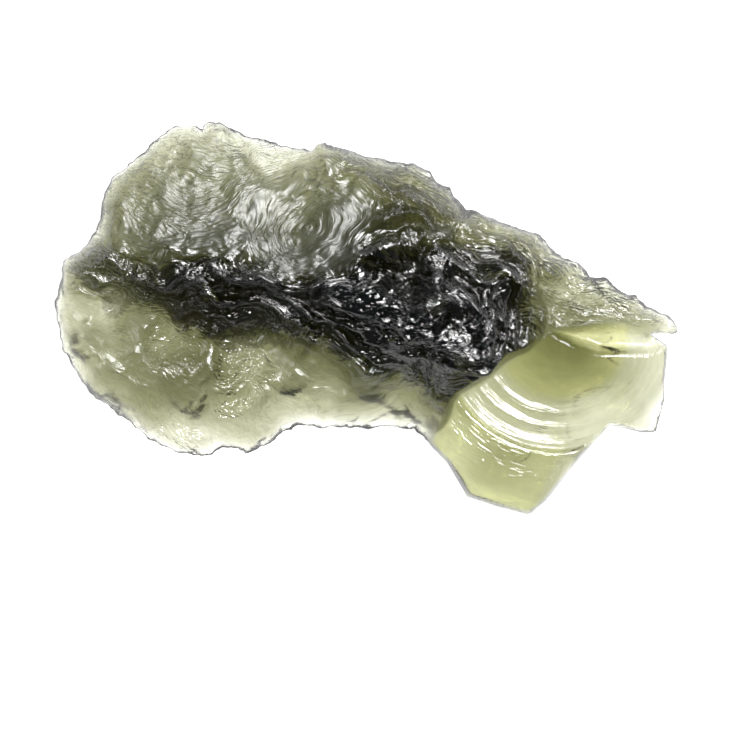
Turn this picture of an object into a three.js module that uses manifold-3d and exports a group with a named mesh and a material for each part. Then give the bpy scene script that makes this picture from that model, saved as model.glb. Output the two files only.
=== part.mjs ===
// A raw moldavite: one flat, ragged piece of natural green glass, about 36 mm long, lying on its back.
// Millimetres, +Z up. The stone stands on Z = 0 and the origin is under the middle of its box.
// From above it has a frosted face with a swirl at the upper left, a rugged back that runs down to a
// spike at the right, a steep flank below both, a thin lobe at the lower left, a bay in the lower edge
// and, at the lower right, a fresh chip with ribs around the point where it was struck.
import * as THREE from "three";
import { mergeVertices } from "three/addons/utils/BufferGeometryUtils.js";
import loadManifold from "manifold-3d";

const manifoldLibrary = await loadManifold();
manifoldLibrary.setup();
const { Manifold, Mesh } = manifoldLibrary;

// Driving dimensions
const LENGTH = 36;
const WIDTH = 22.6;
const CREST = 7.9; // height of the ridge between the back and the flank
const LOBE = 3.9; // thickness in the middle of the lobe
const FLANK_SLOPE = 0.9; // how steeply the flank falls from the crest to its foot
const EDGE_LIFT = 0.7; // how far the outer edge hangs above the surface that the stone lies on
const THINNEST = 0.7; // glass left at the thinnest edge
const PIT_DEPTH = 1.15; // depth of the large etched pits on the back and the flank
const TERRACE = 0.95; // height of the small steps that the flank falls in
const FLANK_FOOT = 3.8; // thickness at the foot of the flank
const BLUNT_EDGE = 0.3; // height of the broken edge round the outline
const FLOW_TURN = -0.26; // the flow of the glass runs this far off the stone's length, in radians
const TOP_FACET = [0.6, 0.34]; // size of the facets of the upper face, along and across the flow
const UNDERSIDE_FACET = [0.9, 0.6];

// The outline from above, clockwise from the left end, in mm from the middle of the stone
const OUTLINE = [
  [-17.9, -0.1], [-17.9, 1], [-17.4, 3.4], [-16.6, 3.9], [-15.6, 4.9], [-15.3, 5.9], [-15.4, 6.6],
  [-14.7, 7.9], [-12.7, 9.8], [-11.4, 10.9], [-10.2, 11.1], [-9.5, 10.9], [-9.1, 11.3], [-8, 11],
  [-6.1, 10.1], [-3.3, 9.7], [-3, 10], [-1.3, 9.7], [1.1, 8.9], [2.8, 8.9], [4, 7.8], [4.8, 7.3],
  [5.6, 6.2], [6.6, 6.1], [7.6, 5.5], [9.6, 4.9], [10.9, 3.7], [12, 3.3], [12.7, 2.4], [13.7, 2.2],
  [14.6, 1.5], [16.5, 0.5], [17.7, -0.3], [18.1, -0.8], [17.6, -1], [16.3, -1], [17.2, -1.7],
  [17, -3.5], [17, -4.7], [16.5, -6.6], [15.6, -6.6], [13.9, -6.2], [12.3, -8], [10.2, -10.6],
  [9.3, -11.3], [7.6, -10.9], [5.7, -10.3], [4.5, -8.3], [3.3, -7.1], [2.6, -6.4], [0.7, -6.4],
  [-2.8, -6.3], [-4.1, -6.3], [-4.8, -6.6], [-5.2, -7.1], [-6.8, -8], [-7.5, -7.6], [-8.4, -7.6],
  [-9.5, -8.1], [-11, -7.9], [-12.5, -7.1], [-14.7, -5.4], [-16, -4.4], [-16.7, -3.2],
  [-17.5, -2.1],
];

// Where the glass is deeply etched into cells and ridges: the back, and the flank below the crest
const RUGGED = [
  [-17.7, 3.9], [-16.3, 4.9], [-12.5, 3.2], [-7.6, 3.2], [-3.9, 2], [0, 2.8], [-0.1, 7.3],
  [-3.2, 10.2], [3, 9.6], [11, 5], [19.1, -0.5], [11, -0.7], [7.6, -2.9], [5.2, -5], [4, -4.7],
  [1, -3.5], [-1.5, -2.5], [-3.9, -1.2], [-7.4, -1.2], [-10.2, -0.8], [-13.7, 0.8], [-16, 1.5],
];

// The foot of the flank, from the left end to the chip
const FOOT = [[-18, 2.2], [-14, 0.9], [-11, -0.9], [-7, -1.5], [-2, -3], [0.5, -4.6], [6, -7]];

// Shallow bowls in the upper face: middle, radius and depth
const BOWLS = [
  { at: [-3.2, 5.2], radius: 4.8, depth: 0.9 }, // the swirl
  { at: [-5.2, 9.9], radius: 2.7, depth: 1.6 }, // the dent in the top edge
  { at: [-14.5, 0.1], radius: 1.7, depth: 0.7 },
  { at: [-10.5, -0.4], radius: 2.4, depth: 0.9 },
  { at: [-6.6, -2.1], radius: 2.4, depth: 0.8 },
  { at: [-12.5, 2], radius: 1.7, depth: 0.5 },
  { at: [-10.4, -6.2], radius: 1.6, depth: 0.7 },
  { at: [-7.2, -4.2], radius: 1.3, depth: 0.3 },
  { at: [5.6, 4.4], radius: 3, depth: 0.9 },
  { at: [1.6, 2.3], radius: 2, depth: 1 },
  { at: [7.6, 0.2], radius: 2.2, depth: 1 },
  { at: [11.6, 1.4], radius: 1.6, depth: 0.6 },
];
const SWIRL = BOWLS[0].at;

// The bay is a bite out of the lower edge, as if by a ball
const BAY = { at: [0.6, -9.6, 9.2], radius: 7.9 };

// The fresh chip, the thin facet along its outer side, and the split between it and the spike
const CHIP = [
  [10.4, -0.8], [13.3, -0.3], [18.5, -0.9], [20.2, -8.8], [9.3, -14], [3.6, -12], [3, -8.2],
  [4, -6.4], [4.8, -4.8], [7.9, -2.6],
];
const CHIP_RIM = [
  [17.2, -1.7], [15.7, -3.9], [14, -6.1], [10.9, -7.9], [9.4, -11.2], [9.4, -13], [20, -13],
  [20, -1.9],
];
const SPLIT = [
  [10.6, -0.8], [14.6, -0.7], [17.3, -1.4], [16, -1.9], [13.2, -1.9], [11.8, -1.5],
];
const STRUCK = [11, -0.8]; // the point that the chip's ribs run round
const FIRST_RIB = 4.1;
const LAST_RIB = 6.7;
const RIB_STEP = 0.9;
const RIB_HEIGHT = 0.09;

const clamp01 = (t) => Math.min(1, Math.max(0, t));
const mix = (a, b, share) => a + (b - a) * share;

function smoothStep(low, high, value) {
  const t = clamp01((value - low) / (high - low));
  return t * t * (3 - 2 * t);
}

function smoothMin(a, b, blend) {
  const t = clamp01(0.5 + (0.5 * (b - a)) / blend);
  return mix(b, a, t) - blend * t * (1 - t);
}

const smoothMax = (a, b, blend) => -smoothMin(-a, -b, blend);

// A fixed number from 0 to 1 for each corner of a grid
function grain(i, j, k) {
  const s = Math.sin(i * 127.1 + j * 311.7 + k * 74.7) * 43758.5453;
  return s - Math.floor(s);
}

// Smooth lumps from -1 to 1, one unit across
function lumps(x, y, z) {
  const [i, j, k] = [Math.floor(x), Math.floor(y), Math.floor(z)];
  const [u, v, w] = [x - i, y - j, z - k].map((t) => t * t * (3 - 2 * t));
  const row = (b, c) => mix(grain(i, b, c), grain(i + 1, b, c), u);
  const layer = (c) => mix(row(j, c), row(j + 1, c), v);
  return 2 * mix(layer(k), layer(k + 1), w) - 1;
}

// Bowls one unit across that meet in sharp ridges: 0 in the middle of a bowl, up to 1 on a ridge
function scallops(x, y, seed) {
  const [i, j] = [Math.floor(x), Math.floor(y)];
  let near = 1;
  for (let a = i - 1; a <= i + 1; a++) {
    for (let b = j - 1; b <= j + 1; b++) {
      const dx = x - (a + 0.15 + 0.7 * grain(a, b, seed));
      const dy = y - (b + 0.15 + 0.7 * grain(a, b, seed + 1));
      near = Math.min(near, dx * dx + dy * dy);
    }
  }
  return near;
}

// Distance from a point to a closed line, positive inside it
function depthInside(x, y, line) {
  let nearest = Infinity;
  let inside = false;
  line.forEach(([x2, y2], n) => {
    const [x1, y1] = line[(n + line.length - 1) % line.length];
    const [dx, dy] = [x2 - x1, y2 - y1];
    const t = clamp01(((x - x1) * dx + (y - y1) * dy) / (dx * dx + dy * dy));
    nearest = Math.min(nearest, Math.hypot(x - x1 - t * dx, y - y1 - t * dy));
    if (y1 > y !== y2 > y && x < x1 + ((y - y1) * dx) / dy) inside = !inside;
  });
  return inside ? nearest : -nearest;
}

// The flow of the glass: its level lines run along the stone and curl round the swirl
function flow(x, y) {
  const away = Math.hypot((x - SWIRL[0]) * 0.8, y - SWIRL[1]);
  const along = 0.26 * x + 0.97 * y + 0.9 * lumps(x * 0.16, y * 0.16, 3);
  return mix(along, SWIRL[1] - away, smoothStep(6, 2, away));
}

// How far across the stone the foot of the flank is, at a place along its length
function footAt(x) {
  let n = 1;
  while (n < FOOT.length - 1 && x > FOOT[n][0]) n++;
  const [[x1, y1], [x2, y2]] = [FOOT[n - 1], FOOT[n]];
  return mix(y1, y2, clamp01((x - x1) / (x2 - x1)));
}

// The broad faces before any etching: frosted face, back, flank, spike and lobe
function bodyTop(x, y) {
  const frosted = CREST + 0.65 + 0.143 * x - 0.47 * y;
  const back = CREST - 0.38 * (x - 3.6) - 0.63 * (y - 1.5);
  const flank = FLANK_FOOT + FLANK_SLOPE * (y - footAt(x));
  const spike = smoothMax(3.8 + 1.6 * (9.6 - x), 3.4 - 0.12 * (x - 11), 0.8);
  const lobe = LOBE - 0.006 * (x + 7) ** 2 - 0.065 * (y + 1.7) ** 2;
  const ridge = smoothMin(smoothMin(frosted, back, 0.9), smoothMin(flank, spike, 0.5), 0.6);
  return smoothMax(smoothMin(ridge, CREST, 0.8), lobe, 0.5);
}

// The rugged faces fall in small uneven steps
function terraced(x, y, z, rugged) {
  const level = (z + 0.5 * lumps(x * 0.45, y * 0.45, 67) + 0.2 * lumps(x * 1.4, y * 1.4, 68)) / TERRACE;
  const part = level - Math.floor(level);
  return z + TERRACE * (smoothStep(0.55, 1, part) - part + 0.4) * rugged * 1.15;
}

// Etched pits drawn out along the flow, deep where the glass is rugged and shallow elsewhere
function etching(x, y, rugged) {
  const along = 0.97 * x - 0.26 * y;
  const across = flow(x, y);
  const large = scallops(along * 0.33, across * 0.62, 21) - 0.45;
  const small = scallops(along * 0.62 + 9, across * 1.25, 27) - 0.45;
  return mix(0.4, PIT_DEPTH, rugged) * large + mix(0.12, 0.42, rugged) * small;
}

// The chip is a ribbed dish, deepest just before the last rib, with a flatter facet beyond it
function chipTop(x, y) {
  const away = Math.hypot(x - STRUCK[0], y - STRUCK[1]);
  const turn = (Math.atan2(y - STRUCK[1], x - STRUCK[0]) * 180) / Math.PI;
  const dish = 1.9 + (away - 5.8) ** 2 / (away < 5.8 ? 16 : 60) + 0.35 * smoothStep(-95, -50, turn);
  const ribbed = smoothStep(FIRST_RIB - 0.6, FIRST_RIB + 0.4, away);
  const strength = ribbed * smoothStep(LAST_RIB + 0.6, LAST_RIB, away);
  const wave = Math.sin((away * 2 * Math.PI) / RIB_STEP);
  const ribs = RIB_HEIGHT * wave * strength * mix(1, 0.25, smoothStep(-95, -65, turn));
  const ledge = 0.7 * smoothStep(LAST_RIB, LAST_RIB + 0.3, away);
  const facet = 3 - 0.12 * (away - 7);
  return smoothMin(dish + ribs + ledge, facet, 0.15);
}

function topHeight(x0, y0) {
  const x = x0 + 0.5 * lumps(x0 * 0.5, y0 * 0.5, 5) + 0.2 * lumps(x0 * 1.3, y0 * 1.3, 6);
  const y = y0 + 0.5 * lumps(x0 * 0.5, y0 * 0.5, 7) + 0.2 * lumps(x0 * 1.3, y0 * 1.3, 8);
  const rugged = smoothStep(-1, 0.8, depthInside(x, y, RUGGED));
  let z = terraced(x, y, bodyTop(x, y), rugged) + etching(x, y, rugged);
  for (const { at, radius, depth } of BOWLS) {
    const away = Math.hypot(x - at[0], y - at[1]) / radius;
    z -= depth * Math.max(0, 1 - away * away);
  }
  z = smoothMax(z, 2.1, 0.3);
  const bayAway = Math.hypot(x - BAY.at[0], y - BAY.at[1]);
  if (bayAway < BAY.radius) {
    z = smoothMin(z, BAY.at[2] - Math.sqrt(BAY.radius ** 2 - bayAway ** 2), 0.4);
  }
  const brokenOff = depthInside(mix(x0, x, 0.6), mix(y0, y, 0.6), CHIP);
  z = mix(z, chipTop(x0, y0), smoothStep(-0.2, 0.2, brokenOff));
  const past = depthInside(x0, y0, CHIP_RIM);
  if (past > -1) z = smoothMin(z, 3 - 1.1 * past, 0.3);
  z = mix(z, 1.6, smoothStep(-0.4, 0.4, depthInside(x0, y0, SPLIT)));
  return smoothMax(z, 1.6, 0.2);
}

// The underside is etched into broad pits, rests on the ridges between them and lifts at the edge
function undersideHeight(x, y, depth) {
  const lift = EDGE_LIFT * smoothStep(5, 0.5, depth);
  const pits = 0.75 * (1 - scallops(x * 0.24 + 0.3, y * 0.27, 41));
  return lift - 0.5 + pits + 0.45 * lumps(x * 0.22, y * 0.22, 11) + 0.12 * lumps(x * 0.9, y * 0.9, 17);
}

// Towards the outline both faces close on each other, down to a thin blunt edge. The upper one does most
// of it, over a wide margin where the glass is etched and a narrow one where it broke.
function skin(x, y) {
  const depth = Math.max(0, depthInside(x, y, OUTLINE));
  const top = topHeight(x, y);
  const underside = Math.min(Math.max(0, undersideHeight(x, y, depth)), top - THINNEST);
  const middle = mix(underside, top, 0.12);
  const broke = smoothStep(-0.3, 0.3, depthInside(x, y, CHIP));
  const margin = mix(0.7, 1.7, clamp01((top - underside) / 4)) * mix(1, 0.3, broke);
  const fullness = 1 - (1 - Math.min(1, depth / margin)) ** 2;
  return {
    top: mix(middle + BLUNT_EDGE / 2, top, fullness),
    underside: mix(middle - BLUNT_EDGE / 2, underside, fullness),
  };
}

function solidOf(geometry) {
  geometry.deleteAttribute("normal");
  geometry.deleteAttribute("uv");
  const merged = mergeVertices(geometry, 1e-4);
  const vertProperties = new Float32Array(merged.getAttribute("position").array);
  const triVerts = new Uint32Array(merged.index.array);
  return new Manifold(new Mesh({ numProp: 3, vertProperties, triVerts }));
}

// A block over the whole plan, turned along the flow of the glass, with one face shaped, the other flat
function shapedBlock([long, wide], shapesTop, heightAt) {
  const [columns, rows] = [Math.round((LENGTH + 6) / long), Math.round((WIDTH + 14) / wide)];
  const block = new THREE.BoxGeometry(columns * long, rows * wide, 2, columns, rows, 1);
  block.rotateZ(FLOW_TURN);
  const places = block.getAttribute("position");
  for (let n = 0; n < places.count; n++) {
    const isTop = places.getZ(n) > 0;
    if (isTop === shapesTop) places.setZ(n, heightAt(places.getX(n), places.getY(n)));
    else places.setZ(n, isTop ? CREST + 4 : -1);
  }
  return solidOf(block);
}

function stoneGeometry() {
  const etchedTop = shapedBlock(TOP_FACET, true, (x, y) => skin(x, y).top);
  const pittedUnderside = shapedBlock(UNDERSIDE_FACET, false, (x, y) => skin(x, y).underside);
  const plan = new THREE.Shape(OUTLINE.map(([x, y]) => new THREE.Vector2(x, y)));
  const prism = new THREE.ExtrudeGeometry(plan, { depth: CREST + 4, bevelEnabled: false });
  const stone = etchedTop.intersect(pittedUnderside).intersect(solidOf(prism.translate(0, 0, -0.5)));
  const mesh = stone.getMesh();
  const geometry = new THREE.BufferGeometry();
  geometry.setAttribute("position", new THREE.BufferAttribute(mesh.vertProperties, mesh.numProp));
  geometry.setIndex(new THREE.BufferAttribute(mesh.triVerts, 1));
  geometry.computeBoundingBox();
  const { min, max } = geometry.boundingBox;
  geometry.translate(-(min.x + max.x) / 2, -(min.y + max.y) / 2, -min.z);
  geometry.computeVertexNormals();
  return geometry;
}

const glass = new THREE.MeshStandardMaterial({ color: 0x6f7a35, roughness: 0.25, metalness: 0 });
const moldavite = new THREE.Mesh(stoneGeometry(), glass);
moldavite.name = "moldavite";

const stone = new THREE.Group();
stone.add(moldavite);
export default stone;
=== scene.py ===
import bpy
import numpy as np
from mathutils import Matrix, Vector


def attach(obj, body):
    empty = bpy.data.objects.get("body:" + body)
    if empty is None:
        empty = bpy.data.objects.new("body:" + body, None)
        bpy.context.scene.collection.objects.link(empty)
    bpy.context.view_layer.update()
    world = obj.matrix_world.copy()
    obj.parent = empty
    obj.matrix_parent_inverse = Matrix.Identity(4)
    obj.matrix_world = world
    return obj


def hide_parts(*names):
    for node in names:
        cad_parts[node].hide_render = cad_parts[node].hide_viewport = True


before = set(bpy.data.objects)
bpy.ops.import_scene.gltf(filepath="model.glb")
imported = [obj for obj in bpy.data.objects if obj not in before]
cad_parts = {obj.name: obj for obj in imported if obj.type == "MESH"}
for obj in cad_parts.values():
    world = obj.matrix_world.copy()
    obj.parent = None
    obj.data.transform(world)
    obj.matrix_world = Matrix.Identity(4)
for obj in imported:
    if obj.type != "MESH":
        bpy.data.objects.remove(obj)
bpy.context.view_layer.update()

# The moldavite itself: one raw piece of natural green glass, splashed out molten and cooled as one
# body, then etched in the ground until its skin was all pits and ridges. A later knock took a chip
# off its right end and left clean glass with ribs round the point that was struck.
MM = 0.001


def clamped(t):
    return np.clip(t, 0, 1)


def mix(a, b, share):
    return a + (b - a) * share


def smooth_step(low, high, value):
    t = clamped((value - low) / (high - low))
    return t * t * (3 - 2 * t)


def smooth_min(a, b, blend):
    t = clamped(0.5 + 0.5 * (b - a) / blend)
    return mix(b, a, t) - blend * t * (1 - t)


def smooth_max(a, b, blend):
    return -smooth_min(-a, -b, blend)


def grain(i, j, k):
    s = np.sin(i * 127.1 + j * 311.7 + k * 74.7) * 43758.5453
    return s - np.floor(s)


def lumps(x, y, z):
    x, y, z = np.broadcast_arrays(x, y, z)
    i, j, k = np.floor(x), np.floor(y), np.floor(z)
    u, v, w = (t * t * (3 - 2 * t) for t in (x - i, y - j, z - k))

    def layer(c):
        near = mix(grain(i, j, c), grain(i + 1, j, c), u)
        far = mix(grain(i, j + 1, c), grain(i + 1, j + 1, c), u)
        return mix(near, far, v)

    return 2 * mix(layer(k), layer(k + 1), w) - 1


def scallops(x, y, seed):
    i, j = np.floor(x), np.floor(y)
    near = np.ones_like(x)
    for a in (i - 1, i, i + 1):
        for b in (j - 1, j, j + 1):
            dx = x - (a + 0.15 + 0.7 * grain(a, b, seed))
            dy = y - (b + 0.15 + 0.7 * grain(a, b, seed + 1))
            near = np.minimum(near, dx * dx + dy * dy)
    return near


def away_from_stretch(x, y, start, end):
    (x1, y1), (x2, y2) = start, end
    dx, dy = x2 - x1, y2 - y1
    t = clamped(((x - x1) * dx + (y - y1) * dy) / (dx * dx + dy * dy))
    return np.hypot(x - x1 - t * dx, y - y1 - t * dy)


def away_from(x, y, line):
    nearest = np.full(x.shape, np.inf)
    for start, end in zip(line[:-1], line[1:]):
        nearest = np.minimum(nearest, away_from_stretch(x, y, start, end))
    return nearest


def depth_inside(x, y, loop):
    nearest = away_from(x, y, np.concatenate([loop[-1:], loop]))
    inside = np.zeros(x.shape, bool)
    for (x1, y1), (x2, y2) in zip(np.roll(loop, 1, axis=0), loop):
        if y1 != y2:
            crossing = x1 + (y - y1) * (x2 - x1) / (y2 - y1)
            inside ^= ((y1 > y) != (y2 > y)) & (x < crossing)
    return np.where(inside, nearest, -nearest)


# its outline as it lies, in mm, and the bites that etching took out of the thin edge
OUTLINE = np.array([
    [-17.9, -0.1], [-17.9, 1], [-17.4, 3.4], [-16.6, 3.9], [-15.6, 4.9], [-15.3, 5.9],
    [-15.4, 6.6], [-14.7, 7.9], [-12.7, 9.8], [-11.4, 10.9], [-10.2, 11.1], [-9.5, 10.9],
    [-9.1, 11.3], [-8, 11], [-6.1, 10.1], [-3.3, 9.7], [-3, 10], [-1.3, 9.7], [1.1, 8.9],
    [2.8, 8.9], [4, 7.8], [4.8, 7.3], [5.6, 6.2], [6.6, 6.1], [7.6, 5.5], [9.6, 4.9],
    [10.9, 3.7], [12, 3.3], [12.7, 2.4], [13.7, 2.2], [14.6, 1.5], [16.5, 0.5], [17.7, -0.3],
    [18.1, -0.8], [17.6, -1], [16.3, -1], [17.2, -1.7], [17, -3.5], [17, -4.7], [16.5, -6.6],
    [15.6, -6.6], [13.9, -6.2], [12.3, -8], [10.2, -10.6], [9.3, -11.3], [7.6, -10.9],
    [5.7, -10.3], [4.5, -8.3], [3.3, -7.1], [2.6, -6.4], [0.7, -6.4], [-2.8, -6.3], [-4.1, -6.3],
    [-4.8, -6.6], [-5.2, -7.1], [-6.8, -8], [-7.5, -7.6], [-8.4, -7.6], [-9.5, -8.1], [-11, -7.9],
    [-12.5, -7.1], [-14.7, -5.4], [-16, -4.4], [-16.7, -3.2], [-17.5, -2.1],
])
CHIP = np.array([
    [10.4, -0.8], [13.3, -0.3], [18.5, -0.9], [20.2, -8.8], [9.3, -14], [3.6, -12], [3, -8.2],
    [4, -6.4], [4.8, -4.8], [7.9, -2.6],
])
EDGE_BITES = [(1.1, 51, 0.28), (2.7, 53, 0.1)]  # bites per mm, seed of their places, depth
BITES_ON_CHIP = 0.05


def edge_depth(x, y):
    etched = smooth_step(0.4, -0.4, depth_inside(x, y, CHIP))
    bites = 0
    for per_mm, seed, size in EDGE_BITES:
        bites = bites + size * (scallops(x * per_mm, y * per_mm, seed) - 0.4)
    return depth_inside(x, y, OUTLINE) + mix(BITES_ON_CHIP, 1, etched) * bites


# its broad form: a frosted plateau and a rugged back that meet in a crest, a steep flank that
# falls from the crest to the thin lobe, and a low spike that runs out beyond them
CREST = 7.9
PLATEAU_RISE = (0.65, 0.143, -0.47)  # over the crest at the middle, and per mm along x and y
BACK_FALL = (0.38, 0.63)  # per mm along x and y
BACK_START = (3.6, 1.5)
FLANK_SLOPE = 0.9
FLANK_FOOT = 3.8
FOOT = np.array([
    [-18, 2.2], [-14, 0.9], [-11, -0.9], [-7, -1.5], [-2, -3], [0.5, -4.6], [6, -7],
])
SPIKE_ROOT = (9.6, 3.8)  # x and height, where the steep drop to the spike ends
SPIKE = (11, 3.4)
LOBE = 3.9
LOBE_MIDDLE = (-7, -1.7)
LOBE_CURVE = (0.006, 0.065)


def body_top(x, y):
    frosted = CREST + PLATEAU_RISE[0] + PLATEAU_RISE[1] * x + PLATEAU_RISE[2] * y
    back = CREST - BACK_FALL[0] * (x - BACK_START[0]) - BACK_FALL[1] * (y - BACK_START[1])
    flank = FLANK_FOOT + FLANK_SLOPE * (y - np.interp(x, FOOT[:, 0], FOOT[:, 1]))
    drop = SPIKE_ROOT[1] + 1.6 * (SPIKE_ROOT[0] - x)
    spike = smooth_max(drop, SPIKE[1] - 0.12 * (x - SPIKE[0]), 0.8)
    from_x, from_y = x - LOBE_MIDDLE[0], y - LOBE_MIDDLE[1]
    lobe = LOBE - LOBE_CURVE[0] * from_x**2 - LOBE_CURVE[1] * from_y**2
    ridge = smooth_min(smooth_min(frosted, back, 0.9), smooth_min(flank, spike, 0.5), 0.6)
    return smooth_max(smooth_min(ridge, CREST, 0.8), lobe, 0.5)


# its etching: scallops of three sizes drawn out along the flow of the glass, which circles round
# the swirl, and on the rugged parts small steps and ledges
SWIRL = (-3.2, 5.2)
FLOW = (0.97, 0.26)  # the way the glass flowed: to the right, and a little down
RUGGED = np.array([
    [-17.7, 3.9], [-16.3, 4.9], [-12.5, 3.2], [-7.6, 3.2], [-3.9, 2], [0, 2.8], [-0.1, 7.3],
    [-3.2, 10.2], [3, 9.6], [11, 5], [19.1, -0.5], [11, -0.7], [7.6, -2.9], [5.2, -5],
    [4, -4.7], [1, -3.5], [-1.5, -2.5], [-3.9, -1.2], [-7.4, -1.2], [-10.2, -0.8],
    [-13.7, 0.8], [-16, 1.5],
])
PITS = [  # per mm along the flow, shift, per mm across it, seed, depth on smooth and rugged skin
    (0.33, 0, 0.62, 21, 0.4, 1.15),
    (0.62, 9, 1.25, 27, 0.12, 0.42),
    (1.5, 3, 3.1, 33, 0.09, 0.22),
]
STEP_HEIGHT = 0.95
LEDGE_STEP = 1.35
LEDGE_HEIGHT = 0.3


def warped(x0, y0):
    x = x0 + 0.5 * lumps(x0 * 0.5, y0 * 0.5, 5) + 0.2 * lumps(x0 * 1.3, y0 * 1.3, 6)
    y = y0 + 0.5 * lumps(x0 * 0.5, y0 * 0.5, 7) + 0.2 * lumps(x0 * 1.3, y0 * 1.3, 8)
    return x, y


def ruggedness(x, y):
    return smooth_step(-1, 0.8, depth_inside(x, y, RUGGED))


def across_flow(x, y):
    away = np.hypot((x - SWIRL[0]) * 0.8, y - SWIRL[1])
    across = FLOW[1] * x + FLOW[0] * y + 0.9 * lumps(x * 0.16, y * 0.16, 3)
    return mix(across, SWIRL[1] - away, smooth_step(6, 2, away))


def ledges(along, across):
    phase = across / LEDGE_STEP + 0.55 * lumps(along * 0.35, across * 0.3, 61)
    rise = phase - np.floor(phase)
    step = np.minimum(rise / 0.22, (1 - rise) / 0.78)
    return step * smooth_step(-0.35, 0.35, lumps(along * 0.3, across * 0.6, 63))


def stepped(x, y, z, rugged):
    uneven = 0.5 * lumps(x * 0.45, y * 0.45, 67) + 0.2 * lumps(x * 1.4, y * 1.4, 68)
    level = (z + uneven) / STEP_HEIGHT
    part = level - np.floor(level)
    return z + 1.15 * STEP_HEIGHT * rugged * (smooth_step(0.55, 1, part) - part + 0.4)


def etching(x, y, rugged):
    along = FLOW[0] * x - FLOW[1] * y
    across = across_flow(x, y)
    relief = LEDGE_HEIGHT * rugged * ledges(along, across)
    for per_along, shift, per_across, seed, smooth, rough in PITS:
        dish = scallops(along * per_along + shift, across * per_across, seed) - 0.45
        relief = relief + mix(smooth, rough, rugged) * dish
    return relief


# its chip: a dish of clean glass, with ribs that ring the point that was struck, a ledge beyond
# them, a broken corner and a split under the spike
STRUCK = (11, -0.8)
DISH_BOTTOM = 1.9
DISH_RADIUS = 5.8
RIB_STEP = 0.9
RIB_HEIGHT = 0.09
FIRST_RIB = 4.1
LAST_RIB = 6.7
LEDGE_BEYOND = 0.7
CORNER = 3  # height of the facet that is left at the lower corner
CHIP_RIM = np.array([
    [17.2, -1.7], [15.7, -3.9], [14, -6.1], [10.9, -7.9], [9.4, -11.2], [9.4, -13], [20, -13],
    [20, -1.9],
])
SPLIT = np.array([
    [10.6, -0.8], [14.6, -0.7], [17.3, -1.4], [16, -1.9], [13.2, -1.9], [11.8, -1.5],
])
SPLIT_BOTTOM = 1.6


def chip_top(x, y):
    away = np.hypot(x - STRUCK[0], y - STRUCK[1])
    turn = np.degrees(np.arctan2(y - STRUCK[1], x - STRUCK[0]))
    bowl = np.where(away < DISH_RADIUS, 1 / 16, 1 / 60)
    dish = DISH_BOTTOM + (away - DISH_RADIUS) ** 2 * bowl + 0.35 * smooth_step(-95, -50, turn)
    phase = away * 2 * np.pi / RIB_STEP
    wave = np.sin(phase) + 0.5 * np.sin(2.6 * phase + 0.1 * turn)
    strength = smooth_step(FIRST_RIB - 0.6, FIRST_RIB + 0.4, away)
    strength = strength * smooth_step(LAST_RIB + 0.6, LAST_RIB, away)
    ribs = RIB_HEIGHT * wave * strength * mix(1, 0.25, smooth_step(-95, -65, turn))
    ledge = LEDGE_BEYOND * smooth_step(LAST_RIB, LAST_RIB + 0.3, away)
    facet = CORNER - 0.12 * (away - 7)
    return smooth_min(dish + ribs + ledge, facet, 0.15)


# its upper face: the form and the etching, worn bowls, the fine rings of the swirl, the crease
# under the swirl, the deep bay in the lower edge, and the chip
BOWLS = [  # place, radius and depth; the first is the swirl's hollow, the next the notch above it
    [*SWIRL, 4.8, 0.9], [-5.2, 9.9, 2.7, 1.6], [-14.5, 0.1, 1.7, 0.7], [-10.5, -0.4, 2.4, 0.9],
    [-6.6, -2.1, 2.4, 0.8], [-12.5, 2, 1.7, 0.5], [-10.4, -6.2, 1.6, 0.7], [-7.2, -4.2, 1.3, 0.3],
    [5.6, 4.4, 3, 0.9], [1.6, 2.3, 2, 1], [7.6, 0.2, 2.2, 0.5], [11.6, 1.4, 1.6, 0.6],
]
LOBE_BOWLS = BOWLS[2:8]
TALLEST_SPIRE = 0.7
RING_STEP = 0.62
RING_HEIGHT = 0.018
CREASE = np.array([
    [-9.5, 2.4], [-7.9, 1.7], [-5, 1.1], [-2, 0.9], [0.6, 1.2], [2.2, 2.4], [2.9, 4.2],
])
CREASE_DEPTH = 0.45
CREASE_WIDTH = 0.55
LOWEST_SKIN = 2.1
BAY = (0.6, -9.6, 9.2)  # middle of the ball that would fill the bay
BAY_RADIUS = 7.9


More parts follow.
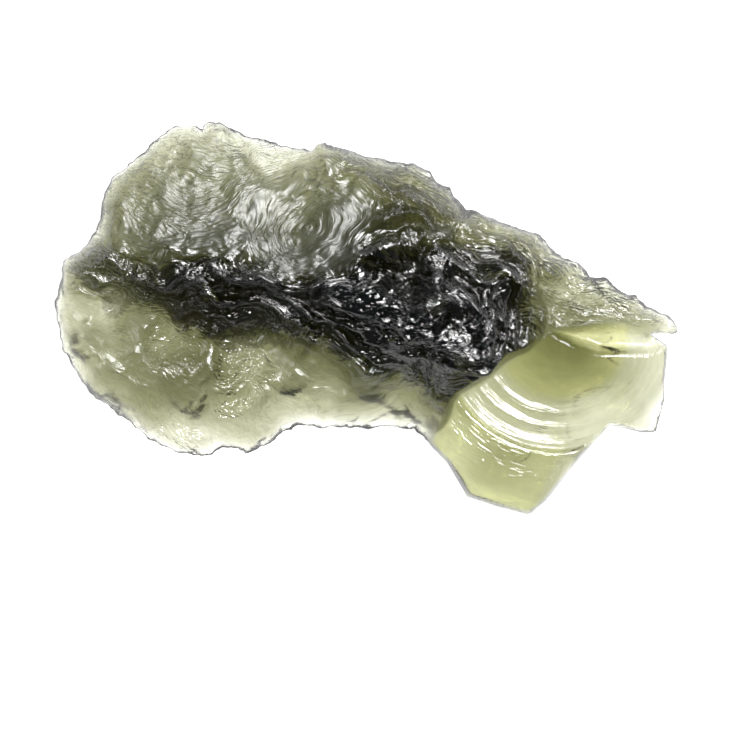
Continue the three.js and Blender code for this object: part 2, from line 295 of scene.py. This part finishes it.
def top_height(x0, y0):
    x, y = warped(x0, y0)
    rugged = ruggedness(x, y)
    broad = body_top(x, y)
    z = stepped(x, y, broad, rugged) + etching(x, y, rugged)
    z = smooth_min(z, broad + TALLEST_SPIRE, 0.4)
    for bowl_x, bowl_y, radius, depth in BOWLS:
        away = np.hypot(x - bowl_x, y - bowl_y) / radius
        z = z - 1.1 * depth * np.maximum(0, 1 - away * away) ** 1.5
    ring = np.hypot(x - SWIRL[0], 1.15 * (y - SWIRL[1])) + 0.2 * lumps(x * 1.1, y * 1.1, 71)
    rings = RING_HEIGHT * np.sin(ring * 2 * np.pi / RING_STEP) * smooth_step(5, 3.4, ring)
    z = z + rings * (1 - 0.6 * rugged)
    z = z - CREASE_DEPTH * smooth_step(CREASE_WIDTH, 0, away_from(x, y, CREASE))
    z = smooth_max(z, LOWEST_SKIN, 0.3)
    bay_away = np.hypot(x - BAY[0], y - BAY[1])
    bite = BAY[2] - np.sqrt(np.maximum(0, BAY_RADIUS**2 - bay_away**2))
    z = np.where(bay_away < BAY_RADIUS, smooth_min(z, bite, 0.4), z)
    broken_off = depth_inside(mix(x0, x, 0.6), mix(y0, y, 0.6), CHIP)
    z = mix(z, chip_top(x0, y0), smooth_step(-0.2, 0.2, broken_off))
    past = depth_inside(x0, y0, CHIP_RIM)
    z = np.where(past > -1, smooth_min(z, CORNER - 1.1 * past, 0.3), z)
    z = mix(z, SPLIT_BOTTOM, smooth_step(-0.4, 0.4, depth_inside(x0, y0, SPLIT)))
    return smooth_max(z, SPLIT_BOTTOM, 0.2)


# its underside: wide shallow hollows worn smooth, with three small flats that it lies on, and the
# outer edge lifted clear; upper and lower face close in a blunt edge
EDGE_LIFT = 0.7
FLATS_DEPTH = 0.5
HOLLOW_DEPTH = 0.75
WEAR = (-0.5, 0, 0.5)  # ridges are worn down over this reach
THINNEST = 0.7
BLUNT_EDGE = 0.1
EDGE_HEIGHT = 0.12  # share of the thickness at which the edge stands


def underside_height(x, y, depth):
    lift = EDGE_LIFT * smooth_step(5, 0.5, depth)
    worn = [scallops((x + a) * 0.24 + 0.3, (y + b) * 0.27, 41) for a in WEAR for b in WEAR]
    hollows = HOLLOW_DEPTH * (1 - np.mean(worn, axis=0))
    broad = 0.45 * lumps(x * 0.22, y * 0.22, 11)
    return lift - FLATS_DEPTH + hollows + broad + 0.12 * lumps(x * 0.9, y * 0.9, 17)


def skin(x, y):
    depth = np.maximum(0, edge_depth(x, y))
    top = top_height(x, y)
    underside = np.maximum(0, underside_height(x, y, depth))
    underside = np.minimum(underside, top - THINNEST)
    edge = mix(underside, top, EDGE_HEIGHT)
    width = mix(0.7, 1.7, clamped((top - underside) / 4))
    width = width * mix(1, 0.3, smooth_step(-0.3, 0.3, depth_inside(x, y, CHIP)))
    near = 1 - np.minimum(1, depth / width)
    fullness = 1 - near * near
    upper = mix(edge + BLUNT_EDGE / 2, top, fullness)
    lower = mix(edge - BLUNT_EDGE / 2, underside, fullness)
    return upper, lower


# plan grid, kept where the glass is, without cells that hang by a corner
MESH_STEP = 0.108
grid_x = np.arange(-18.8, 18.8, MESH_STEP)
grid_y = np.arange(-12.2, 12.2, MESH_STEP)
plan_x, plan_y = np.meshgrid(grid_x, grid_y, indexing="ij")
inside = edge_depth(plan_x, plan_y) > 0.03
cell = inside[:-1, :-1] & inside[1:, :-1] & inside[1:, 1:] & inside[:-1, 1:]
for _ in range(3):
    padded = np.pad(cell, 1).astype(int)
    cell &= padded[:-2, 1:-1] + padded[2:, 1:-1] + padded[1:-1, :-2] + padded[1:-1, 2:] >= 2
cells_touched = np.zeros(inside.shape, int)
for a in (0, 1):
    for b in (0, 1):
        cells_touched[a : a + cell.shape[0], b : b + cell.shape[1]] += cell
kept = cells_touched > 0
rim = kept & (cells_touched < 4)
inner = kept & ~rim

# the outermost points moved onto the outline
NUDGE = 0.02
FURTHEST_MOVE = 0.06
for _ in range(4):
    rim_x, rim_y = plan_x[rim], plan_y[rim]
    here = edge_depth(rim_x, rim_y)
    slope_x = edge_depth(rim_x + NUDGE, rim_y) - edge_depth(rim_x - NUDGE, rim_y)
    slope_y = edge_depth(rim_x, rim_y + NUDGE) - edge_depth(rim_x, rim_y - NUDGE)
    slope_x, slope_y = slope_x / (2 * NUDGE), slope_y / (2 * NUDGE)
    steep = np.maximum(0.5, slope_x**2 + slope_y**2)
    plan_x[rim] -= np.clip(here * slope_x / steep, -FURTHEST_MOVE, FURTHEST_MOVE)
    plan_y[rim] -= np.clip(here * slope_y / steep, -FURTHEST_MOVE, FURTHEST_MOVE)

# both faces as one closed mesh that shares the points of the rim
upper, lower = skin(plan_x, plan_y)
middle = (upper + lower) / 2
above = np.full(kept.shape, -1)
above[kept] = np.arange(kept.sum())
below = np.where(rim, above, -1)
below[inner] = kept.sum() + np.arange(inner.sum())
points = np.concatenate([
    np.stack([plan_x[kept], plan_y[kept], np.where(rim, middle, upper)[kept]], 1),
    np.stack([plan_x[inner], plan_y[inner], lower[inner]], 1),
])


def halves(numbers):
    corners = [numbers[:-1, :-1], numbers[1:, :-1], numbers[1:, 1:], numbers[:-1, 1:]]
    rows = np.stack([c[cell] for c in corners], 1)
    # no cell is split from rim to rim, where the upper and the lower face would share the line
    turned = (rim[:-1, :-1] & rim[1:, 1:])[cell]
    rows = np.where(turned[:, None], np.roll(rows, -1, axis=1), rows)
    return np.concatenate([rows[:, [0, 1, 2]], rows[:, [0, 2, 3]]])


faces = np.concatenate([halves(above), halves(below)[:, ::-1]])

# gnawed a little in all three directions, so that steep faces are not drawn out straight
GNAW = [(0.9, 0.1), (2.6, 0.04)]  # lumps per mm, and their height
LEFT_FLAT = 0.2
OUTLINE_MIDDLE = [0.1, 0.0, 0.0]
x, y, z = points.T
plain_x, plain_y = x.copy(), y.copy()
lowest_edge = middle.min()
fresh = smooth_step(-0.2, 0.3, depth_inside(x, y, CHIP)) * (z > lowest_edge)
calm = 1 - 0.8 * fresh
gnaw_x, gnaw_y, gnaw_z = (
    sum(height * lumps(x * per_mm + n, y * per_mm, z * per_mm) for per_mm, height in GNAW) * calm
    for n in (0, 31, 57)
)
z = np.where(z > LEFT_FLAT, z + gnaw_z, z)
points = np.stack([x + gnaw_x, y + gnaw_y, np.maximum(z, 0)], 1)
mesh = bpy.data.meshes.new("moldavite_glass")
mesh.from_pydata(((points - OUTLINE_MIDDLE) * MM).tolist(), [], faces.tolist())
mesh.update()
mesh.shade_smooth()

# the kinds of skin: frosted plateau, the band below the crest, which is glossier and carries
# painted shade, and ribs on the chip;
# and the direction that the flow lines run in, which turns on the lobe and round the struck point
LOBE_FLOW = (0.79, 0.62)
SHADE_LINE = ([-18, -14, 0, 12], [5.4, 4.8, 3.4, 3.4])
warp_x, warp_y = warped(plain_x, plain_y)
rugged = ruggedness(warp_x, warp_y)
frosted = smooth_step(1.5, 3.5, warp_y) * smooth_step(2.5, 0.5, warp_x) * (1 - rugged)
# painted shade: the rugged band below the crest is darkened further, more weakly at the far left
below_crest = smooth_step(1.6, -0.2, warp_y - np.interp(warp_x, *SHADE_LINE))
below_crest = below_crest * smooth_step(10.5, 8, warp_x)
shade = below_crest * mix(0.3, 1, smooth_step(-17, -9, warp_x)) * rugged
struck_away = np.hypot(plain_x - STRUCK[0], plain_y - STRUCK[1])
struck_turn = np.arctan2(plain_y - STRUCK[1], plain_x - STRUCK[0])
ribbed = fresh * smooth_step(FIRST_RIB - 0.6, FIRST_RIB + 0.2, struck_away)
ribbed = ribbed * smooth_step(LAST_RIB + 0.3, LAST_RIB - 0.1, struck_away)

on_lobe = smooth_step(1, -3, warp_y) * smooth_step(2, -4, warp_x)
along = FLOW[0] * warp_x - FLOW[1] * warp_y
along = mix(along, LOBE_FLOW[0] * warp_x - LOBE_FLOW[1] * warp_y, on_lobe)
across_lobe = LOBE_FLOW[1] * (warp_x + 8) + LOBE_FLOW[0] * warp_y - 2.3
across = mix(across_flow(warp_x, warp_y), across_lobe, on_lobe)
along = mix(along, 4 * struck_turn, fresh)
across = mix(across, struck_away, fresh)
lines_run = np.stack([along, across, points[:, 2]], 1).astype(np.float32)
flow_lines = mesh.attributes.new("flow_lines", "FLOAT_VECTOR", "POINT")
flow_lines.data.foreach_set("vector", lines_run.ravel())

# fine hatching on the lower left of each bowl on the lobe, and the places that are darkened:
# painted shade at the upper right of the bowls on the lobe, along the foot of the band and in the
# crease, and soil with painted shade in the etched pits, stronger below the crest
UNDER_BAND = np.array([[-12.6, 1.2], [-10.4, 0.5], [-8.2, -0.7], [-5.6, -1.5], [-3.6, -1.6]])
hatched = np.zeros(len(points))
hollow_shade = np.zeros(len(points))
for bowl_x, bowl_y, radius, _ in LOBE_BOWLS:
    from_x, from_y = warp_x - bowl_x, warp_y - bowl_y
    away = np.hypot(from_x + 0.2 * radius, from_y + 0.45 * radius) / radius
    hatched = np.maximum(hatched, smooth_step(0.9, 0.6, away))
    away = np.hypot(from_x - 0.1 * radius, from_y - 0.4 * radius) / radius
    hollow_shade = np.maximum(hollow_shade, smooth_step(0.75, 0.4, away))
# painted shade: the upper right of the bowls on the lobe and the foot of the band are darkened
hollow_shade = hollow_shade * smooth_step(2.6, 1.6, warp_y) * smooth_step(-2.6, -1.2, warp_y)
hollow_shade = hollow_shade * smooth_step(-4, -5, warp_x)
under_band = away_from(warp_x, warp_y, UNDER_BAND)
under_band = under_band + 0.35 * lumps(along * 0.9, across * 2.2, 81)
hollow_shade = np.maximum(hollow_shade, 0.85 * smooth_step(1.1, 0.2, under_band))
# soil with painted shade in the etched pits, and painted shade in the crease
pits_and_shade = smooth_step(0.3, -0.4, etching(warp_x, warp_y, rugged) - 0.1) * rugged * (1 - fresh)
pits_and_shade = pits_and_shade * mix(0.2, 1, below_crest)
pits_and_shade = np.maximum(pits_and_shade, smooth_step(0.45, 0.1, away_from(warp_x, warp_y, CREASE)))
pits_and_shade = np.maximum(pits_and_shade, hollow_shade)

# how broken, lined, satin and stained each part of the upper face is; the underside is smooth
etched = 1 - 0.96 * fresh
broken = np.maximum(rugged * mix(0.85, 0.75, shade), 0.36 * frosted) * etched * (1 - 0.4 * pits_and_shade)
lined = np.maximum(0.06 + 0.8 * hatched, 0.4 * broken) * etched
satin = (1 - fresh) * (1 - 0.85 * hatched) * (1 - 0.95 * shade) * (1 - 0.6 * rugged)
satin = 0.1 + 0.22 * satin + 0.16 * ribbed + 0.1 * frosted
stained = np.maximum(mix(0.5, 0.15, fresh), np.maximum(frosted, rugged) * etched)
stained = stained * (1 - 0.5 * shade)
clean = fresh * (1 - 0.85 * ribbed)
clean = clean * mix(1, 0.65, smooth_step(LAST_RIB, LAST_RIB + 1, struck_away))
clean = clean * smooth_step(0.3, -0.3, depth_inside(plain_x, plain_y, CHIP_RIM))
on_top = np.arange(len(points)) < kept.sum()
for label, seen, underneath in [
    ("broken", broken, 0.03),
    ("lined", lined, 0.035),
    ("satin", satin, 0.15),
    ("ribbed", np.maximum(ribbed, 0.35 * fresh), 0),
    ("pits_and_shade", pits_and_shade, 0),
    ("shade", shade, 0),
    ("clean", clean, 0),
    ("stained", stained, 0),
]:
    values = np.where(on_top, seen, underneath).astype(np.float32)
    mesh.attributes.new(label, "FLOAT", "POINT").data.foreach_set("value", values)

moldavite = bpy.data.objects.new("moldavite_glass", mesh)
bpy.context.scene.collection.objects.link(moldavite)

# the glass is clear right through and takes its green from its depth; only its skin is marked, and
# some of those marks are painted shade
# this dark colour stands for soil in the pits and for painted shade in hollows, crease, grooves
# and the band
SOIL_AND_SHADE = (0.012, 0.010, 0.010, 1)
BARE_GLASS = (1, 1, 1, 1)
CHIP_GREEN = (1.0, 1.0, 0.5, 1)
glass = bpy.data.materials.new("natural green glass")
glass.use_nodes = True
nodes, links = glass.node_tree.nodes, glass.node_tree.links
shader = nodes["Principled BSDF"]
shader.inputs["IOR"].default_value = 1.49
shader.inputs["Transmission Weight"].default_value = 1.0
absorb = nodes.new("ShaderNodeVolumeAbsorption")
absorb.inputs["Color"].default_value = (0.512, 0.52, 0.355, 1)
absorb.inputs["Density"].default_value = 1420
links.new(absorb.outputs["Volume"], nodes["Material Output"].inputs["Volume"])


def feed(socket, value):
    if isinstance(value, bpy.types.NodeSocket):
        links.new(value, socket)
    else:
        socket.default_value = value


def marked(label, output="Fac"):
    node = nodes.new("ShaderNodeAttribute")
    node.attribute_name = label
    return node.outputs[output]


def sums(operation, first, second):
    node = nodes.new("ShaderNodeMath")
    node.operation = operation
    feed(node.inputs[0], first)
    feed(node.inputs[1], second)
    return node.outputs["Value"]


def ramp(value, low, high, to_low, to_high):
    node = nodes.new("ShaderNodeMapRange")
    node.inputs["From Min"].default_value = low
    node.inputs["From Max"].default_value = high
    node.inputs["To Min"].default_value = to_low
    node.inputs["To Max"].default_value = to_high
    feed(node.inputs["Value"], value)
    return node.outputs["Result"]


def drawn_out(per_mm):
    node = nodes.new("ShaderNodeVectorMath")
    node.operation = "MULTIPLY"
    feed(node.inputs[0], marked("flow_lines", "Vector"))
    node.inputs[1].default_value = per_mm
    return node.outputs["Vector"]


def clouds(per_mm, detail):
    node = nodes.new("ShaderNodeTexNoise")
    feed(node.inputs["Vector"], drawn_out(per_mm))
    node.inputs["Scale"].default_value = 1.0
    node.inputs["Detail"].default_value = detail
    return node.outputs["Fac"]


def small_pits(per_mm, shape):
    node = nodes.new("ShaderNodeTexVoronoi")
    node.distance = shape
    feed(node.inputs["Vector"], drawn_out(per_mm))
    node.inputs["Scale"].default_value = 1.0
    return node.outputs["Distance"]


def tinted(share, first, second):
    node = nodes.new("ShaderNodeMix")
    node.data_type = "RGBA"
    feed(node.inputs["Factor"], share)
    feed(node.inputs["A"], first)
    feed(node.inputs["B"], second)
    return node.outputs["Result"]


def relief(height, depth_mm, strength, under=None):
    node = nodes.new("ShaderNodeBump")
    feed(node.inputs["Height"], height)
    node.inputs["Distance"].default_value = depth_mm * MM
    feed(node.inputs["Strength"], strength)
    if under:
        links.new(under, node.inputs["Normal"])
    return node.outputs["Normal"]


# finest relief: flow lines, sharp little pits, a frosting of finer ones, and hackle on the ribs
streaks = clouds((2.0, 7.5, 0.9), 1.0)
finest = relief(streaks, 0.34, marked("lined"))
finest = relief(small_pits((2.1, 6.5, 1.9), "CHEBYCHEV"), 0.2, marked("broken"), finest)
frosting = small_pits((3.0, 8.0, 3.0), "EUCLIDEAN")
finest = relief(frosting, 0.05, ramp(marked("broken"), 0, 1, 0.3, 1), finest)
finest = relief(clouds((0.6, 3.2, 0.0), 3.0), 0.12, marked("ribbed"), finest)
links.new(finest, shader.inputs["Normal"])
links.new(marked("satin"), shader.inputs["Roughness"])

# soil and painted shade in the pits; painted shade in the hollows, the crease, the grooves of the
# flow lines and over the band below the crest;
# then dark specks and thin dark crevices, faint clouds, and a fine grime over it all
# painted shade: the pits, crease, hollows and the low parts of the flow-line relief get the dark
# colour, more so in the band below the crest
soil_and_shade = sums("ADD", marked("pits_and_shade"), ramp(streaks, 0.35, 0.65, 0.3, -0.3))
soil_and_shade = sums("MULTIPLY", ramp(soil_and_shade, 0.3, 0.7, 0, 1), ramp(marked("shade"), 0, 1, 0.6, 1))
specks = ramp(clouds((2.4, 4.0, 3.0), 3.0), 0.45, 0.7, 0, 0.3)
from_crevice = sums("ABSOLUTE", ramp(clouds((0.7, 2.7, 1.8), 2.0), 0, 1, -1, 1), 0)
specks = sums("MAXIMUM", specks, ramp(from_crevice, 0.015, 0.08, 0.6, 0))
soil_and_shade = sums("MAXIMUM", soil_and_shade, sums("MULTIPLY", specks, marked("stained")))
soil_and_shade = sums("MAXIMUM", soil_and_shade, ramp(clouds((0.5, 1.3, 0.9), 4.0), 0.42, 0.66, 0, 0.12))
grime = ramp(clouds((4.5, 9.0, 4.5), 2.0), 0.42, 0.66, 0, 0.3)
soil_and_shade = sums("ADD", soil_and_shade, sums("MULTIPLY", grime, marked("stained")))
skin_colour = tinted(marked("clean"), BARE_GLASS, CHIP_GREEN)
links.new(tinted(soil_and_shade, skin_colour, SOIL_AND_SHADE), shader.inputs["Base Color"])
mesh.materials.append(glass)

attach(moldavite, "root")
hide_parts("moldavite")

# The table that it lies on: a plain white sheet over a lamp. The sheet glows evenly, and more
# brightly just under the stone, so that the light comes up through the glass.
SHEET_GAP = 0.00001
for name, height, glow, corners in [
    ("floor", -2 * SHEET_GAP, 1.03, [(-1, -1), (1, -1), (1, 1), (-1, 1)]),
    ("floor_lamp", -SHEET_GAP, 2.2, (OUTLINE * MM).tolist()),
]:
    sheet_mesh = bpy.data.meshes.new(name)
    sheet_mesh.from_pydata([(x, y, height) for x, y in corners], [], [range(len(corners))])
    sheet = bpy.data.objects.new(name, sheet_mesh)
    bpy.context.scene.collection.objects.link(sheet)
    paper = bpy.data.materials.new(name + " white sheet")
    paper.use_nodes = True
    paper_shader = paper.node_tree.nodes["Principled BSDF"]
    paper_shader.inputs["Base Color"].default_value = (0.05, 0.05, 0.05, 1)
    paper_shader.inputs["Roughness"].default_value = 1.0
    paper_shader.inputs["Emission Color"].default_value = (1, 1, 1, 1)
    paper_shader.inputs["Emission Strength"].default_value = glow
    sheet_mesh.materials.append(paper)

# The studio round it: a dim room and three soft square lights, whose sides are in metres. Two
# stand behind the stone and to its right, a weak one stands to its left, and all face it.
room = bpy.data.worlds.new("room")
room.use_nodes = True
room.node_tree.nodes["Background"].inputs["Color"].default_value = (0.13, 0.14, 0.18, 1)
bpy.context.scene.world = room

for name, place, side, watts in [
    ("top_light", (0.13, 0.17, 0.30), 0.15, 4.6),
    ("back_light", (0.10, 0.36, 0.20), 0.3, 4.0),
    ("left_light", (-0.26, 0.0, 0.22), 0.14, 0.5),
]:
    lamp = bpy.data.lights.new(name, "AREA")
    lamp.size = side
    lamp.energy = watts
    holder = bpy.data.objects.new(name, lamp)
    holder.location = place
    holder.rotation_euler = (-Vector(place)).to_track_quat("-Z", "Y").to_euler()
    bpy.context.scene.collection.objects.link(holder)

# The camera: straight above the stone and facing down, as in the photograph. Its lens is chosen so
# that the picture takes in 43 mm of the table.
CAMERA_HEIGHT = 0.30
SEEN_WIDTH = 0.04276
SENSOR_WIDTH = 36
camera_data = bpy.data.cameras.new("camera")
camera_data.lens = SENSOR_WIDTH * CAMERA_HEIGHT / SEEN_WIDTH
camera_data.clip_start = 0.01
camera = bpy.data.objects.new("camera", camera_data)
camera.location = (0.00013, -0.00316, CAMERA_HEIGHT)
bpy.context.scene.collection.objects.link(camera)
bpy.context.scene.camera = camera
bpy.context.scene.view_settings.view_transform = "Standard"
